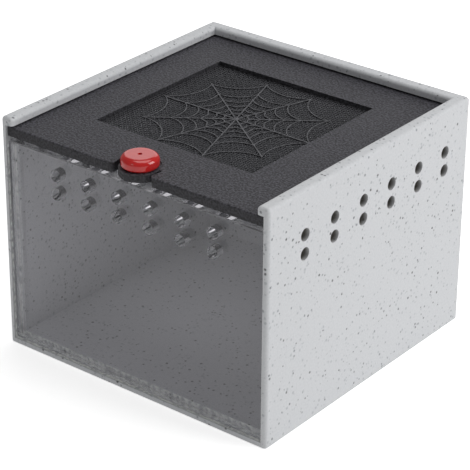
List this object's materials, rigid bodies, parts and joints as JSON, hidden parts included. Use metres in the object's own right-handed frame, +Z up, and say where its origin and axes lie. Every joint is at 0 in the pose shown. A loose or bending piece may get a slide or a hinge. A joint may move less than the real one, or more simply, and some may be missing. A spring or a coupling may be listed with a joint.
{
  "type": "spider enclosure",
  "caption": "Small stone-look enclosure for a jumping spider, with a clear vented front panel and a screened lid that slides forward under a lip.",
  "frame": {"origin": "middle of the underside of the case", "axes": "+Z up, the clear front panel faces -Y, +X to the right seen from the front"},
  "size_m": [0.1, 0.1013, 0.0769],
  "materials": {
    "stone_plastic": "speckled stone look, faintly rough",
    "clear_acrylic": "clear, polished faces",
    "black_plastic": "pebbled, matte",
    "screen_cloth": "fine woven screen",
    "grey_thread": "matte raised thread",
    "red_plastic": "polished",
    "steel": "plain zinc plated"
  },
  "bodies": {
    "case": {"shell": "stone_plastic", "front_panel": "clear_acrylic"},
    "lid": {"lid": "black_plastic", "mesh_screen": "screen_cloth", "mesh_retainer": "black_plastic", "web_threads": "grey_thread", "knob_cap": "red_plastic", "knob_screw": "steel"}
  },
  "joints": [
    {"name": "lid_slide", "type": "slide", "parent": "case", "child": "lid", "axis": [0, -1, 0], "range_m": [0, 0.09]}
  ]
}
